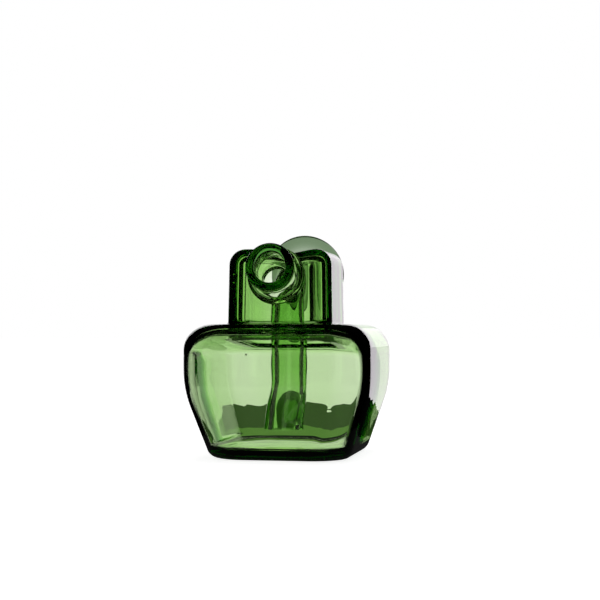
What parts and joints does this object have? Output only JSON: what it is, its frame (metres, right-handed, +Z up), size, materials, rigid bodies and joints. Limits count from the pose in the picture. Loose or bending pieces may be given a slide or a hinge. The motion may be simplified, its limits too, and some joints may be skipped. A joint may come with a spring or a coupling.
{
  "type": "glass oil bottle",
  "caption": "Free-standing blown glass oil bottle: a tapered rounded reservoir, a block neck with a lipped spout in front, and a funnel behind that feeds an inner dip tube.",
  "frame": {"origin": "middle of the resting face", "axes": "+Z up, spout towards -Y, funnel towards +Y, +X to the right when the spout faces the viewer"},
  "size_m": [0.0882, 0.1018, 0.1096],
  "materials": {
    "green_glass": "clear green, polished",
    "pale_glass": "pale green, polished",
    "deep_green_glass": "deep green, polished"
  },
  "bodies": {
    "root": {"base_pad": "green_glass", "reservoir_shell": "green_glass", "neck_chamber": "green_glass", "spout_tube": "pale_glass", "spout_lip": "deep_green_glass", "spout_collar": "green_glass", "funnel": "pale_glass", "funnel_collar": "green_glass", "dip_tube": "green_glass"}
  },
  "joints": []
}
